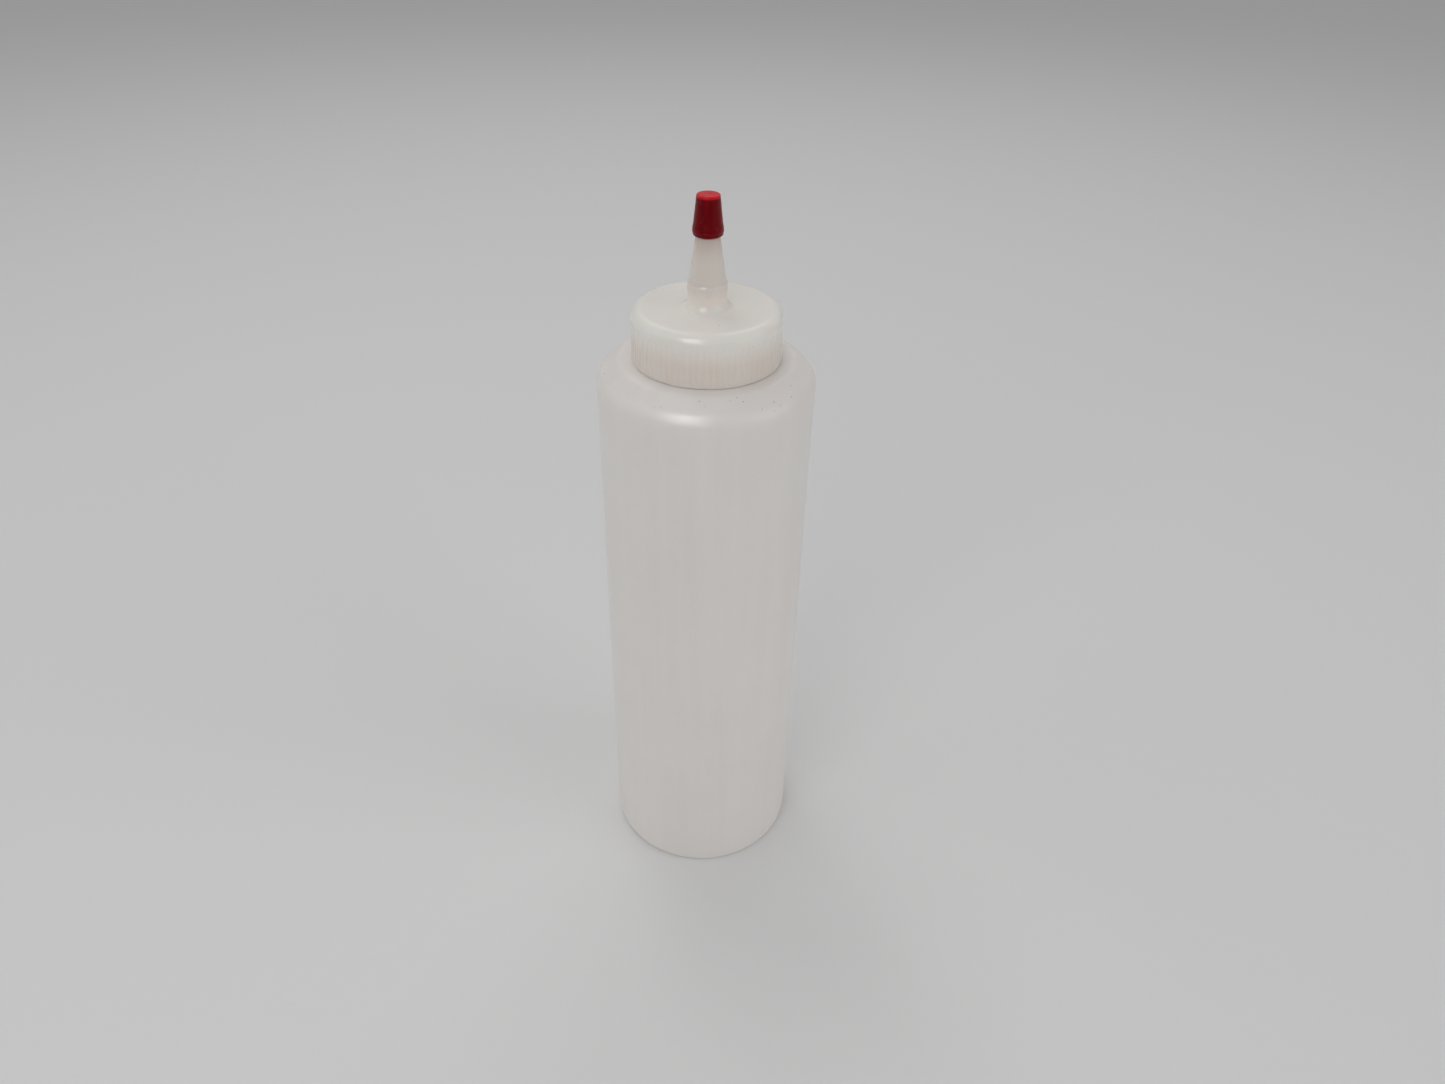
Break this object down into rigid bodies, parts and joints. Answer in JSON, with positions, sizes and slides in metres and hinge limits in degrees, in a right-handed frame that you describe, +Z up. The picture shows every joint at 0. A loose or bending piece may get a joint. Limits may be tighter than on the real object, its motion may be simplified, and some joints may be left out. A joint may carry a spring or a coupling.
{
  "type": "glue applicator bottle",
  "caption": "Straight translucent squeeze bottle with a ribbed screw-on spout cap, a gasket under its deck and a red push-on tip cap over the tapered spout.",
  "frame": {"origin": "centre of the bottle's foot, on the plane it stands on", "axes": "+Z up along the bottle's axis, from the foot to the tip cap; X and Y are free, because the bottle is round"},
  "size_m": [0.061, 0.061, 0.2225],
  "materials": {
    "bottle_plastic": "natural translucent polyethylene, satin",
    "spout_cap_plastic": "natural translucent polyethylene, slightly warmer, satin",
    "gasket_foam": "white closed-cell foam, matte",
    "tip_cap_plastic": "deep red moulded plastic, satin"
  },
  "bodies": {
    "bottle_body": {"bottle": "bottle_plastic"},
    "gasket_body": {"cap_gasket": "gasket_foam"},
    "spout_cap_body": {"spout_cap": "spout_cap_plastic"},
    "tip_cap_body": {"tip_cap": "tip_cap_plastic"}
  },
  "joints": [
    {"name": "cap_lift", "type": "slide", "parent": "bottle_body", "child": "gasket_body", "axis": [0, 0, 1], "range_m": [0, 0.0128]},
    {"name": "cap_turn", "type": "hinge", "parent": "gasket_body", "child": "spout_cap_body", "pos_m": [0, 0, 0.179], "axis": [0, 0, 1], "range_deg": [0, 1080]},
    {"name": "tip_pull", "type": "slide", "parent": "spout_cap_body", "child": "tip_cap_body", "axis": [0, 0, 1], "range_m": [0, 0.014]}
  ],
  "couplings": [
    {"joint": "cap_lift", "follows": "cap_turn", "m_per_rad": 0.00067374}
  ]
}
